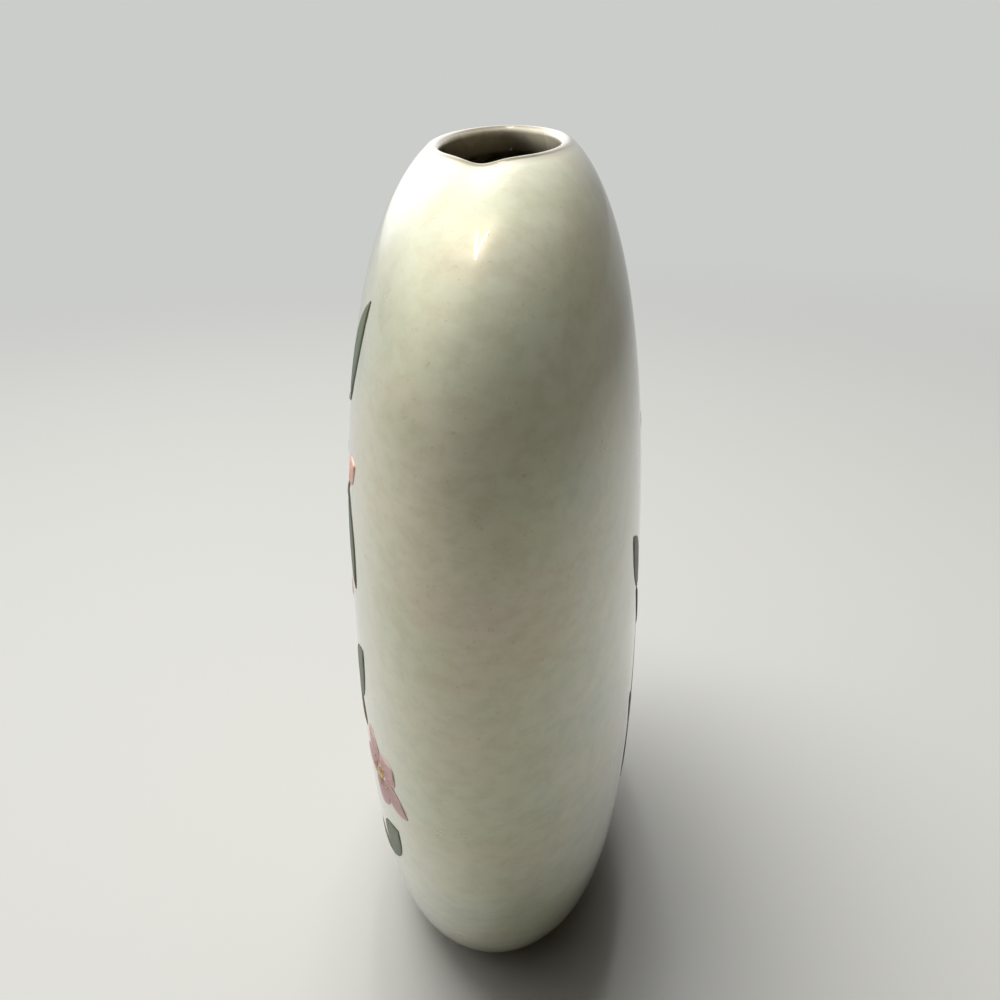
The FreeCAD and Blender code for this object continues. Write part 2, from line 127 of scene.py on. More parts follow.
class Form:
    """An oval form between two heights: the outside of the clay or its cavity.

    Its sizes at the foot, belly and lip are pairs of half the width and half the depth."""

    def __init__(self, low_z, high_z, low, full, high):
        self.low_z = low_z
        self.high_z = high_z
        self.half_widths = (low[0], full[0], high[0])
        self.half_depths = (low[1], full[1], high[1])

    def halves(self, z):
        """Half the width and half the depth at a height."""
        half_width = half_size(z, WIDEST_HEIGHT, self.low_z, self.high_z, WIDTH_CROWN_RISE,
                               self.half_widths, (LOW_WIDTH_POWER, HIGH_WIDTH_POWER))
        half_depth = half_size(z, DEEPEST_HEIGHT, self.low_z, self.high_z, DEPTH_CROWN_RISE,
                               self.half_depths, (LOW_DEPTH_POWER, HIGH_DEPTH_POWER))
        return half_width, half_depth

    def lift(self, z):
        """How far a ring follows the uneven lip: 0 in the belly, 1 at the form's top."""
        rise = 1 - min(1.0, (self.high_z - z) / RIM_BLEND_HEIGHT)
        return rise * rise * (3 - 2 * rise)

    def stations(self, count, start_z):
        """Rings from a start height to the top, closer together where the form turns in."""
        peak_z = DEEPEST_HEIGHT
        span = self.high_z + DEPTH_CROWN_RISE - peak_z
        lowest = math.asin(((peak_z - start_z) / (peak_z - self.low_z)) ** (LOW_DEPTH_POWER / 2))
        highest = math.asin(((self.high_z - peak_z) / span) ** (HIGH_DEPTH_POWER / 2))
        stations = []
        for angle in np.linspace(-lowest, highest, count):
            if angle < 0:
                share = math.sin(-angle) ** (2 / LOW_DEPTH_POWER)
                z = peak_z - (peak_z - self.low_z) * share
            else:
                share = math.sin(angle) ** (2 / HIGH_DEPTH_POWER)
                z = min(self.high_z, peak_z + span * share)
            stations.append(Station(z, *self.halves(z), self.lift(z)))
        return stations


def lip_stations(first_step, last_step):
    """Rings over the round lip, from its outside at step 0 to its inside at twice LIP_RINGS."""
    stations = []
    for step in range(first_step, last_step + 1):
        angle = math.pi / 2 * step / LIP_RINGS
        reach = LIP_RADIUS * math.cos(angle)
        z = RIM_HEIGHT - LIP_RADIUS + LIP_RADIUS * math.sin(angle)
        stations.append(Station(z, MOUTH_HALF[0] + reach, MOUTH_HALF[1] + reach, 1.0))
    return stations


join_station = lip_stations(JOIN_RING, JOIN_RING)[0]
outside = Form(FOOT_HEIGHT, join_station.z, FOOT_HALF, BELLY_HALF,
               (join_station.half_width, join_station.half_depth))
cavity = Form(FOOT_RECESS + FLOOR_THICKNESS, RIM_HEIGHT - NECK_DEPTH,
              [half - WALL for half in FOOT_HALF], [half - WALL for half in BELLY_HALF],
              [half - LIP_RADIUS for half in MOUTH_HALF])


def grown(stations, thicknesses):
    """Rings moved out of the clay, each by its own thickness."""
    moved = []
    for index, (station, thickness) in enumerate(zip(stations, thicknesses)):
        before = stations[max(index - 1, 0)]
        after = stations[min(index + 1, len(stations) - 1)]
        run = after.half_depth - before.half_depth
        rise = after.z - before.z
        length = math.hypot(run, rise)
        out = thickness * rise / length
        moved.append(Station(station.z - thickness * run / length, station.half_width + out,
                             station.half_depth + out, station.lift))
    return moved


def ring_points(stations):
    """Points of every ring: an array of rings by points by x, y and z.

    The lip's wave drops it towards +X and dips it at that end."""
    angle = np.linspace(0, 2 * math.pi, AROUND, endpoint=False)
    tilt = -RIM_DROP / 2 * np.cos(angle)
    across = MOUTH_HALF[1] * np.sin(angle) + DIP_OFFSET
    dip = DIP_DEPTH * np.exp(-(across / DIP_HALF_WIDTH) ** 2)
    wave = tilt - dip * np.maximum(0.0, np.cos(angle)) ** 2
    rings = []
    for z, half_width, half_depth, lift in stations:
        rings.append(np.stack([half_width * np.cos(angle), half_depth * np.sin(angle),
                               z + lift * wave], axis=-1))
    return np.array(rings)


def grid_normals(rings):
    """Unit normals of a skin of rings, outward for rings that climb on the outside."""
    along = np.gradient(rings, axis=0)
    around = np.roll(rings, -1, axis=1) - np.roll(rings, 1, axis=1)
    normals = np.cross(around, along)
    return normals / np.linalg.norm(normals, axis=-1, keepdims=True)


def new_object(name, vertices, faces):
    """A mesh object from points and faces."""
    mesh = bpy.data.meshes.new(name)
    mesh.from_pydata([tuple(point) for point in vertices], [], faces)
    mesh.validate()
    piece = bpy.data.objects.new(name, mesh)
    bpy.context.scene.collection.objects.link(piece)
    return piece


def ring_faces(first, second):
    """Quads between two rings given by the index of their first point."""
    faces = []
    for step in range(AROUND):
        after = (step + 1) % AROUND
        faces.append((first + step, first + after, second + after, second + step))
    return faces


def skin_faces(count):
    """Quads of a skin of so many rings."""
    faces = []
    for ring in range(count - 1):
        faces += ring_faces(ring * AROUND, (ring + 1) * AROUND)
    return faces


def add_floor(vertices, faces, ring, z, flip):
    """Triangles added from a ring, given by the index of its first point, to its middle."""
    centre = len(vertices)
    vertices.append((0.0, 0.0, z))
    for step in range(AROUND):
        after = (step + 1) % AROUND
        face = (ring + step, ring + after, centre)
        faces.append(face[::-1] if flip else face)


def smooth(piece, vertex_normals, angle):
    """Smooth shading with corners kept, and true normals where they are known."""
    mesh = piece.data
    mesh.shade_smooth()
    mesh.set_sharp_from_angle(angle=angle)
    if vertex_normals is None:
        return
    mesh.update()
    corner_normals = [Vector(corner.vector) for corner in mesh.corner_normals]
    for polygon in mesh.polygons:
        vertices = [mesh.loops[loop].vertex_index for loop in polygon.loop_indices]
        known = [vertex_normals.get(vertex) for vertex in vertices]
        if all(normal is not None and normal.dot(polygon.normal) > SAME_FACE for normal in known):
            for loop, normal in zip(polygon.loop_indices, known):
                corner_normals[loop] = normal
    mesh.normals_split_custom_set(corner_normals)


def shell(name, face_rings, back_rings, face_normals, floors):
    """A closed layer between a glaze's face and its back, joined round its first ring.

    Its last rings are joined too, or closed by floors at two heights, the back's and the face's."""
    rings = np.concatenate([back_rings[::-1], face_rings])
    vertices = list(rings.reshape(-1, 3))
    faces = skin_faces(len(rings))
    last = (len(rings) - 1) * AROUND
    if floors:
        back_floor, face_floor = floors
        add_floor(vertices, faces, 0, back_floor, flip=True)
        add_floor(vertices, faces, last, face_floor, flip=False)
    else:
        faces += ring_faces(last, 0)
    piece = new_object(name, vertices, faces)
    first_face_vertex = len(back_rings) * AROUND
    known = {}
    for index, normal in enumerate(face_normals.reshape(-1, 3)):
        known[first_face_vertex + index] = Vector(normal)
    smooth(piece, known, CORNER_ANGLE)
    return piece


# Glaze skins

# The whole face from the foot over the lip to the cavity's floor is one smooth skin, which is
# split between the outer glaze and the liner at the ring on the lip's crest
outer_stations = outside.stations(OUTER_RINGS, GLAZE_START)
inner_stations = cavity.stations(INNER_RINGS, cavity.low_z)[::-1]
skin_stations = outer_stations + lip_stations(JOIN_RING + 1, 2 * LIP_RINGS) + inner_stations
crest = OUTER_RINGS + LIP_RINGS - JOIN_RING - 1
liner_floor_z = cavity.low_z + LINER_THICKNESS

skin_thicknesses = []
for index in range(len(skin_stations)):
    inward = min(1.0, max(0.0, (index - crest) / LIP_RINGS))
    full = GLAZE_THICKNESS + (LINER_THICKNESS - GLAZE_THICKNESS) * inward
    skin_thicknesses.append(full * min(1.0, EDGE_SHARE + index * EDGE_STEP_SHARE))
face_stations = grown(skin_stations, skin_thicknesses)
face_stations[-1] = face_stations[-1]._replace(z=liner_floor_z, lift=0.0)

clay_rings = ring_points(skin_stations)
face_rings = ring_points(face_stations)
face_normals = grid_normals(face_rings)

outer_glaze = shell("glaze_outside", face_rings[:crest + 1], clay_rings[:crest + 1],
                    face_normals[:crest + 1], floors=None)
liner_glaze = shell("glaze_inside", face_rings[crest:], clay_rings[crest:],
                    face_normals[crest:], floors=(cavity.low_z, liner_floor_z))


def mark_rim(piece, distances):
    """An attribute that is 1 at the crest and 0 away from it; distances are counts of rings."""
    shares = [max(0.0, 1 - (distance / RIM_RINGS) ** RIM_POWER) for distance in distances]
    values = np.zeros(len(piece.data.vertices))
    values[:2 * len(shares) * AROUND] = np.repeat(shares[::-1] + shares, AROUND)
    piece.data.attributes.new("rim", "FLOAT", "POINT").data.foreach_set("value", values)


mark_rim(outer_glaze, range(crest, -1, -1))
mark_rim(liner_glaze, range(len(skin_stations) - crest))


def foot_stations():
    """Rings from the recess's middle out over the rounded foot ring to the glaze's start."""
    inner = [half - FOOT_RING_WIDTH for half in FOOT_HALF]
    stations = []
    for share in RECESS_SHARES:
        stations.append(Station(FOOT_RECESS, inner[0] * share, inner[1] * share, 0.0))
    for step in range(ROUND_RINGS + 1):
        z = FOOT_RECESS - (FOOT_RECESS - FOOT_ROUNDING) * step / ROUND_RINGS
        stations.append(Station(z, *inner, 0.0))
    for step in range(1, ROUND_RINGS + 1):
        angle = math.pi / 2 * step / ROUND_RINGS
        reach = FOOT_ROUNDING * (1 - math.cos(angle))
        z = FOOT_ROUNDING * (1 - math.sin(angle))
        stations.append(Station(z, inner[0] + reach, inner[1] + reach, 0.0))
    for step in range(ROUND_RINGS + 1):
        angle = math.pi / 2 * step / ROUND_RINGS
        reach = FOOT_ROUNDING * (math.sin(angle) - 1)
        z = FOOT_ROUNDING * (1 - math.cos(angle))
        stations.append(Station(z, FOOT_HALF[0] + reach, FOOT_HALF[1] + reach, 0.0))
    for step in range(ROUND_RINGS):
        z = FOOT_HEIGHT + (GLAZE_START - FOOT_HEIGHT) * step / ROUND_RINGS
        stations.append(Station(z, *outside.halves(z), 0.0))
    return stations


def make_clay():
    """The clay body: foot and recess below, the skin's back for the rest."""
    rings = np.concatenate([ring_points(foot_stations()), clay_rings])
    vertices = list(rings.reshape(-1, 3))
    faces = skin_faces(len(rings))
    add_floor(vertices, faces, 0, FOOT_RECESS, flip=True)
    add_floor(vertices, faces, (len(rings) - 1) * AROUND, cavity.low_z, flip=False)
    piece = new_object("clay_foot_and_core", vertices, faces)
    smooth(piece, None, CORNER_ANGLE)
    return piece


clay = make_clay()


# Raised enamel

# The layout and the motifs' outlines are those of the solids
STEM_WIDTH = 1.6 * MM
TWIG_WIDTH = 1.1 * MM
TAPER_SHARE = 0.4
LEAF_LENGTH = 22.0 * MM
LEAF_WIDTH = 8.4 * MM
LEAF_BOW = 1.3 * MM
PETAL_LENGTH = 8.2 * MM
PETAL_WIDTH = 6.9 * MM
PETALS = 5
PETAL_ROOT_SHARE = 0.09
PETAL_SPAN_SHARE = 0.79
PETAL_END_SHARE = 0.3
BUD_LENGTH = 9.0 * MM
BUD_WIDTH = 5.4 * MM
BUD_BOW = 0.5 * MM
TIP_WIDTH = 0.3 * MM
MOTIF_GAP = 0.3 * MM
EYE_RADIUS = 1.6 * MM
EYE_HEIGHT = 0.5 * MM
EYE_GAP = 0.4 * MM
STAMEN_RADIUS = 0.45 * MM
STAMEN_HEIGHT = 0.28 * MM
STAMEN_RING_RADIUS = 3.5 * MM
# The stamens stand on the petals, at this share of the enamel's height
STAMEN_BASE_SHARE = 0.7

# Places are x as a share of half the belly's width and z as a share of the rim's height.
# A twig: the stroke it grows from, the share along it, its side (1 left, -1 right), its middle
# and end. A leaf: its stroke, the share along it, its side (0 for the end), its turn in degrees
# and its scale. A blossom or bud: the stroke it ends and its scale.
FACES = {
    "front": {
        "side": -1,
        "stems": [[(-0.06, 0.075), (-0.45, 0.33), (0.04, 0.5), (0.32, 0.66), (0.07, 0.84)]],
        "twigs": [
            (0, 0.42, -1, (0.33, 0.44), (0.565, 0.377)),
            (0, 0.3, 1, (-0.44, 0.36), (-0.54, 0.475)),
            (0, 0.52, -1, (0.07, 0.505), (0.17, 0.512)),
            (0, 0.64, -1, (0.33, 0.6), (0.59, 0.685)),
            (0, 0.79, 1, (-0.12, 0.7), (-0.33, 0.75)),
            (0, 0.13, -1, (0.2, 0.15), (0.55, 0.185)),
            (0, 0.86, -1, (0.3, 0.74), (0.535, 0.765)),
        ],
        "blossoms": [(1, 1.0), (2, 1.1), (3, 1.15), (5, 0.95)],
        "buds": [(4, 1.0), (0, 1.0)],
        "leaves": [
            (7, 1.0, 0, 55, 1.0),
            (4, 0.9, -1, 100, 0.9),
            (1, 0.86, 1, 82, 1.1),
            (6, 1.0, 0, 42, 0.9),
            (4, 0.45, 1, 45, 0.8),
            (1, 0.42, -1, 40, 0.95),
            (6, 0.45, 1, 45, 0.8),
            (0, 0.62, 1, 50, 0.85),
            (5, 0.45, -1, 45, 0.85),
            (0, 0.93, -1, 40, 0.8),
            (2, 0.15, 1, 45, 0.95),
            (2, 0.64, 1, 60, 0.8),
            (2, 0.36, -1, 45, 0.75),
            (0, 0.11, 1, 45, 0.9),
        ],
    },
    "back": {
        "side": 1,
        "stems": [[(0.2, 0.2), (0.04, 0.34), (0.02, 0.46), (-0.06, 0.6)]],
        "twigs": [
            (0, 0.5, -1, (0.16, 0.43), (0.265, 0.5)),
            (0, 0.3, 1, (-0.08, 0.37), (-0.19, 0.36)),
        ],
        "blossoms": [(0, 1.0), (2, 0.9)],
        "buds": [],
        "leaves": [
            (1, 1.0, 0, 0, 0.95),
            (0, 0.66, 1, 50, 0.8),
            (0, 0.16, -1, 50, 0.75),
            (0, 0.08, 1, 55, 0.85),
        ],
    },
}

# Rows and columns of points on one motif, from its root to its tip and across it
GRIDS = {"stems": (48, 7), "leaves": (43, 17), "petals": (19, 15), "buds": (21, 11)}
DOME_RINGS = 6
DOME_STEPS = 20
# A dome ends in a flat of this share of its radius
DOME_FLAT_SHARE = 0.08
# A face's slope is measured over twice this length
SLOPE_STEP = 0.05 * MM

# Relief in shares: depths and heights of the enamel's, lengths of the motif's, widths of half of
# the motif's
EDGE_HEIGHT_SHARE = 0.25
SIDE_POWER = 3
LEAF_END = 0.12
PETAL_END = 0.1
PLAIN_END = 0.06
MIDRIB_DEPTH = 0.5
MIDRIB_WIDTH = 0.1
VEINS = 7
VEIN_DEPTH = 0.16
VEIN_SLANT = 0.22
VEIN_START = 0.2
DISH_DEPTH = 0.35
DISH_MIDDLE = 0.55
DISH_LENGTH = 0.28
DISH_WIDTH = 0.55
GROOVES = 3
GROOVE_DEPTH = 0.1


def face_depth(x, z):
    """Depth of the clay's outside at a place on one face."""
    half_width, half_depth = outside.halves(z)
    return half_depth * math.sqrt(max(0.0, 1 - (x / half_width) ** 2))


def face_normal(x, z, side):
    """Unit normal out of the clay's front, side -1, or back, side 1."""
    slope_x = (face_depth(x + SLOPE_STEP, z) - face_depth(x - SLOPE_STEP, z)) / (2 * SLOPE_STEP)
    slope_z = (face_depth(x, z + SLOPE_STEP) - face_depth(x, z - SLOPE_STEP)) / (2 * SLOPE_STEP)
    return Vector((-slope_x, side, -slope_z)).normalized()


def face_point(x, z, side, height):
    """A point at a height above the glaze of one face."""
    lift = face_normal(x, z, side) * (GLAZE_THICKNESS + height)
    return Vector((x, side * face_depth(x, z), z)) + lift


def placed(x, z, turn, along, across):
    """A motif's own along and across lengths, turned and set down at its place."""
    angle = math.radians(turn)
    return (x + along * math.cos(angle) - across * math.sin(angle),
            z + along * math.sin(angle) + across * math.cos(angle))


def place_on_face(x_share, z_share):
    """A place in the layout in real lengths."""
    return x_share * BELLY_HALF[0], z_share * RIM_HEIGHT


def blade(x, z, turn, scale, length, width, bow):
    """A leaf or bud from its base: widest in the middle, pointed at both ends, slightly bowed."""

    def outline(along, across):
        swell = math.sin(math.pi * along)
        half = scale * (TIP_WIDTH + (width - TIP_WIDTH) * swell) / 2
        return placed(x, z, turn, scale * length * along, scale * bow * swell + half * across)

    return outline


def petal(x, z, turn, scale):
    """One petal of a blossom, narrow at the eye, widest past its middle, with a round end."""
    start = EYE_RADIUS + EYE_GAP
    full_half = PETAL_WIDTH / 2
    end_depth = full_half * PETAL_END_SHARE

    def outline(along, across):
        swell = math.sin(math.pi * (PETAL_ROOT_SHARE + PETAL_SPAN_SHARE * along))
        rounding = end_depth * along * (1 - across ** 2)
        reach = start + (PETAL_LENGTH - end_depth) * along + rounding
        return placed(x, z, turn, scale * reach, scale * full_half * swell * across)

    return outline


class Stroke:
    """A stem or twig that tapers along a smooth curve."""

    def __init__(self, places, width):
        self.places = places
        self.width = width

    def last_span(self, along):
        """The two points whose blend is the curve's point, by repeated blending."""
        points = self.places
        while len(points) > 2:
            points = [[(1 - along) * a + along * b for a, b in zip(first, second)]
                      for first, second in zip(points, points[1:])]
        return points

    def turn(self, along):
        """Direction of the curve in degrees."""
        (x, z), (next_x, next_z) = self.last_span(along)
        return math.degrees(math.atan2(next_z - z, next_x - x))

    def near(self, along, ahead, left):
        """A place given by its lengths ahead and to the left of a point on the curve."""
        first, second = self.last_span(along)
        x, z = [(1 - along) * a + along * b for a, b in zip(first, second)]
        return placed(x, z, self.turn(along), ahead, left)

    def half(self, along):
        """Half the stroke's width."""
        return self.width / 2 * (1 - TAPER_SHARE * along)

    def beside(self, along, side, gap):
        """A place clear of the stroke: to its left, side 1, its right, -1, or past its end, 0."""
        if side == 0:
            return self.near(along, gap, 0.0)
        return self.near(along, 0.0, side * (self.half(along) + gap))

    def outline(self, along, across):
        """The stroke's own outline for a patch."""
        return self.near(along, 0.0, self.half(along) * across)


# Relief of the motifs, from 0 at an edge to 1


def rounded_edges(along, across, end):
    """A cushion whose sides and ends fall off, the ends over the share of its length given.

    Along runs from 0 at the root to 1 at the tip, across from -1 to 1."""
    sides = max(0.0, 1 - abs(across) ** SIDE_POWER)
    ends = min(1.0, along / end, (1 - along) / end)
    return math.sqrt(sides) * math.sin(math.pi / 2 * max(0.0, ends))


def leaf_relief(along, across):
    """A leaf: full cushion with a groove for the midrib and finer ones for the side veins."""
    midrib = MIDRIB_DEPTH * math.exp(-(across / MIDRIB_WIDTH) ** 2)
    wave = math.sin(2 * math.pi * VEINS * (along - VEIN_SLANT * abs(across)))
    veins = VEIN_DEPTH * max(0.0, wave) * min(1.0, abs(across) / VEIN_START)
    return rounded_edges(along, across, LEAF_END) * (1 - midrib - veins)


def petal_relief(along, across):
    """A petal: dished in the middle, with a raised rim and fine grooves from the root."""
    dish = DISH_DEPTH * math.exp(-((along - DISH_MIDDLE) / DISH_LENGTH) ** 2
                                 - (across / DISH_WIDTH) ** 2)
    wave = (1 + math.cos(GROOVES * math.pi * across)) / 2
    grooves = GROOVE_DEPTH * wave * (1 - along)
    return rounded_edges(along, across, PETAL_END) * (1 - dish - grooves)


def plain_relief(along, across):
    """A stem or bud: a plain round cushion."""
    return rounded_edges(along, across, PLAIN_END)


def patch_points(outline, side, relief, grid):
    """Points of a motif's raised top and then of its back, each with its along and across."""
    rows, columns = grid
    points = []
    places = []
    for is_top in (True, False):
        for row in range(rows):
            along = row / (rows - 1)
            for column in range(columns):
                across = 2 * column / (columns - 1) - 1
                height = -ENAMEL_SINK
                if is_top:
                    share = (1 - EDGE_HEIGHT_SHARE) * relief(along, across)
                    height = ENAMEL_HEIGHT * (EDGE_HEIGHT_SHARE + share)
                points.append(face_point(*outline(along, across), side, height))
                places.append((along, across))
    return points, places


def patch_faces(start, side, grid):
    """Faces of a motif's top, back and the wall between, from the index of its first point."""
    rows, columns = grid
    count = rows * columns

    def corner(row, column, layer):
        return start + layer * count + row * columns + column

    faces = []
    for row in range(rows - 1):
        for column in range(columns - 1):
            quad = [corner(row, column, 0), corner(row, column + 1, 0),
                    corner(row + 1, column + 1, 0), corner(row + 1, column, 0)]
            under = [index + count for index in quad]
            faces += [quad, under[::-1]]
    border = ([(0, column) for column in range(columns)]
              + [(row, columns - 1) for row in range(1, rows)]
              + [(rows - 1, column) for column in range(columns - 2, -1, -1)]
              + [(row, 0) for row in range(rows - 2, 0, -1)])
    for first, second in zip(border, border[1:] + border[:1]):
        faces.append([corner(*first, 0), corner(*first, 1), corner(*second, 1),
                      corner(*second, 0)])
    if side > 0:
        return [face[::-1] for face in faces]
    return faces


def patches(name, outlines, side, relief, grid):
    """One piece of enamel with a closed, softly raised patch for each motif."""
    vertices = []
    faces = []
    motif = []
    draw = random.Random(name)
    for outline in outlines:
        tone = draw.random()
        faces += patch_faces(len(vertices), side, grid)
        points, places = patch_points(outline, side, relief, grid)
        vertices += points
        for along, across in places:
            motif += [along, across, tone]
    piece = new_object(name, vertices, faces)
    piece.data.attributes.new("motif", "FLOAT_VECTOR", "POINT").data.foreach_set("vector", motif)
    smooth(piece, None, MOTIF_CORNER_ANGLE)
    return piece


def domes(name, places, side, radius, height, base_height):
    """One piece of small gold domes that stand on a face."""
    vertices = []
    faces = []
    for x, z in places:
        normal = face_normal(x, z, side)
        first_axis = Vector((0, 0, 1)).cross(normal).normalized()
        second_axis = normal.cross(first_axis)
        centre = face_point(x, z, side, base_height)
        start = len(vertices)
        for ring in range(DOME_RINGS + 1):
            angle = math.pi / 2 * ring / DOME_RINGS
            level = height * math.sin(angle) if ring else -ENAMEL_SINK
            reach = radius * max(math.cos(angle), DOME_FLAT_SHARE)
            for step in range(DOME_STEPS):
                turn = 2 * math.pi * step / DOME_STEPS
                vertices.append(centre + normal * level + first_axis * reach * math.cos(turn)
                                + second_axis * reach * math.sin(turn))
        for ring in range(DOME_RINGS):
            for step in range(DOME_STEPS):
                after = (step + 1) % DOME_STEPS
                low = start + ring * DOME_STEPS
                high = low + DOME_STEPS
                faces.append((low + step, low + after, high + after, high + step))
        faces.append(tuple(start + step for step in range(DOME_STEPS))[::-1])
        faces.append(tuple(start + DOME_RINGS * DOME_STEPS + step for step in range(DOME_STEPS)))
    piece = new_object(name, vertices, faces)
    smooth(piece, None, MOTIF_CORNER_ANGLE)
    return piece


def grow(stems, twigs):
    """All strokes of one face: the stems, then the twigs that grow from earlier strokes."""
    strokes = [Stroke([place_on_face(*place) for place in stem], STEM_WIDTH) for stem in stems]
    for parent, along, side, middle, end in twigs:
        start = strokes[parent].beside(along, side, MOTIF_GAP + TWIG_WIDTH / 2)
        strokes.append(Stroke([start, place_on_face(*middle), place_on_face(*end)], TWIG_WIDTH))
    return strokes


def make_flowers(name, face):
    """The enamel pieces of one face, by the CAD node that each stands for."""
    side = face["side"]
    strokes = grow(face["stems"], face["twigs"])
    leaves = []
    for number, along, leaf_side, turn, scale in face["leaves"]:
        base = strokes[number].beside(along, leaf_side, MOTIF_GAP)
        leaf_turn = strokes[number].turn(along) + turn * (leaf_side or 1)
        leaves.append(blade(*base, leaf_turn, scale, LEAF_LENGTH, LEAF_WIDTH, LEAF_BOW))
    buds = []
    for number, scale in face["buds"]:
        base = strokes[number].beside(1.0, 0, MOTIF_GAP)
        buds.append(blade(*base, strokes[number].turn(1.0), scale, BUD_LENGTH, BUD_WIDTH, BUD_BOW))
    petals = []
    eyes = []
    stamens = []
    for number, scale in face["blossoms"]:
        reach = scale * (EYE_RADIUS + EYE_GAP + PETAL_LENGTH)
        centre = strokes[number].beside(1.0, 0, MOTIF_GAP + reach)
        eyes.append(centre)
        for petal_number in range(PETALS):
            turn = strokes[number].turn(1.0) + 360 / PETALS * petal_number
            petals.append(petal(*centre, turn, scale))
            stamens.append(placed(*centre, turn, scale * STAMEN_RING_RADIUS, 0.0))
    outlines = [stroke.outline for stroke in strokes]
    pieces = {
        "stems": patches(f"{name}_stem_enamel", outlines, side, plain_relief, GRIDS["stems"]),
        "leaves": patches(f"{name}_leaf_enamel", leaves, side, leaf_relief, GRIDS["leaves"]),
        "petals": patches(f"{name}_petal_enamel", petals, side, petal_relief, GRIDS["petals"]),
        "flower_eyes": domes(f"{name}_gold_eyes", eyes, side, EYE_RADIUS, EYE_HEIGHT, 0.0),
        "stamens": domes(f"{name}_gold_stamens", stamens, side, STAMEN_RADIUS, STAMEN_HEIGHT,
                         ENAMEL_HEIGHT * STAMEN_BASE_SHARE),
    }
    if buds:
        pieces["buds"] = patches(f"{name}_bud_enamel", buds, side, plain_relief, GRIDS["buds"])
    return pieces


# Materials

# The liner's painted shade is darkest this far below the lip
LINER_SHADE_DEPTH = 9.0 * MM
# The glaze's clouds are this many times as wide as they are high
CLOUD_FLATNESS = 1.7

BLACK = (0.0, 0.0, 0.0)
WHITE = (1.0, 1.0, 1.0)
RIM_BROWN = (0.20, 0.165, 0.115)
# A pattern's colours: stops from 0, where it is lowest, to 1
PEARL_CLOUDS = [(0.32, (0.53, 0.52, 0.375)), (0.5, (0.61, 0.61, 0.47)), (0.66, (0.67, 0.67, 0.54))]
PEARL_TINTS = [(0.34, (0.52, 0.56, 0.42)), (0.5, (0.61, 0.615, 0.475)), (0.66, (0.63, 0.57, 0.45))]
PEARL_MOTTLE = [(0.36, (0.84, 0.81, 0.76)), (0.56, WHITE)]
PEARL_SPECKS = [(0.66, WHITE), (0.74, (0.80, 0.74, 0.64))]
LINER_CLOUDS = [(0.3, (0.62, 0.56, 0.41)), (0.6, (0.79, 0.73, 0.58))]
# Painted shade inside the mouth: the liner's colour is multiplied by these, from deep below the lip
# up to the lip
LINER_PAINTED_SHADE = [(0.0, (0.26, 0.22, 0.15)), (0.8, WHITE)]
CLAY_TONES = [(0.3, (0.60, 0.54, 0.45)), (0.7, (0.72, 0.67, 0.59))]
CLAY_GRIT = [(0.3, (0.72, 0.66, 0.58)), (0.45, WHITE)]
GOLD_WEAR = [(0.35, (0.42, 0.27, 0.10)), (0.6, (0.74, 0.53, 0.22))]

# Each enamel has colours from a motif's root to its tip, colours by the motif's own tone, an edge
# colour, and streaks: the angle of their wave, in radians, from the middle to the edge
ENAMELS = {
    "stem_enamel": {
        "along_stops": [(0.0, (0.13, 0.086, 0.053)), (1.0, (0.23, 0.16, 0.11))],
        "tone_stops": [(0.0, (0.15, 0.11, 0.067)), (1.0, (0.20, 0.17, 0.11))],
        "edge": (0.093, 0.067, 0.047),
        "streaks": 0.0,
    },
    "leaf_enamel": {
        "along_stops": [(0.0, (0.04, 0.06, 0.037)), (0.5, (0.08, 0.12, 0.067)),
                        (0.85, (0.15, 0.16, 0.08)), (1.0, (0.19, 0.12, 0.067))],
        "tone_stops": [(0.0, (0.053, 0.086, 0.06)), (0.5, (0.11, 0.15, 0.093)),
                       (1.0, (0.17, 0.16, 0.093))],
        "edge": (0.04, 0.053, 0.037),
        "streaks": 0.0,
    },
    "petal_enamel": {
        "along_stops": [(0.0, (0.27, 0.08, 0.12)), (0.35, (0.45, 0.20, 0.24)),
                        (0.75, (0.61, 0.35, 0.36)), (1.0, (0.69, 0.48, 0.45))],
        "tone_stops": [(0.0, (0.43, 0.21, 0.27)), (1.0, (0.59, 0.36, 0.33))],
        "edge": (0.67, 0.48, 0.44),
        "streaks": 11.0,
    },
    "bud_enamel": {
        "along_stops": [(0.0, (0.11, 0.16, 0.08)), (0.25, (0.19, 0.20, 0.093)),
                        (0.4, (0.67, 0.27, 0.23)), (1.0, (0.82, 0.45, 0.37))],
        "tone_stops": [(0.0, (0.60, 0.27, 0.24)), (1.0, (0.73, 0.37, 0.29))],
        "edge": (0.80, 0.53, 0.45),
        "streaks": 7.0,
    },
}
# How much of an enamel's colour comes from its tone, from its edge colour and from its streaks
TONE_SHARE = 0.45
EDGE_COLOUR_SHARE = 0.7
EDGE_COLOUR_POWER = 4.0
STREAK_SHARE = 0.35

# Sockets of a mix of colours by number, since several share a name: factor, colours, and result
MIX_INPUTS = (0, 6, 7)
MIX_RESULT = 2


def set_input(tree, socket, value):
    """A socket linked to another one, or set to a number, a vector or a colour."""
    if isinstance(value, bpy.types.NodeSocket):
        tree.links.new(value, socket)
    elif socket.type == "RGBA":
        socket.default_value = (*value, 1.0)
    else:
        socket.default_value = value


def set_inputs(tree, node, **values):
    """Inputs of a node set by name, with _ for a space."""
    for name, value in values.items():
        set_input(tree, node.inputs[name.replace("_", " ")], value)


def new_material(name, **inputs):
    """A material, its tree and its Principled shader, whose inputs are given by name."""
    material = bpy.data.materials.new(name)
    material.use_nodes = True
    tree = material.node_tree
    shader = tree.nodes["Principled BSDF"]
    set_inputs(tree, shader, **inputs)
    return material, tree, shader


def add(tree, kind, **values):
    """A node with its properties or inputs set."""
    node = tree.nodes.new(kind)
    for name, value in values.items():
        if hasattr(node, name):
            setattr(node, name, value)
        else:
            set_inputs(tree, node, **{name: value})
    return node


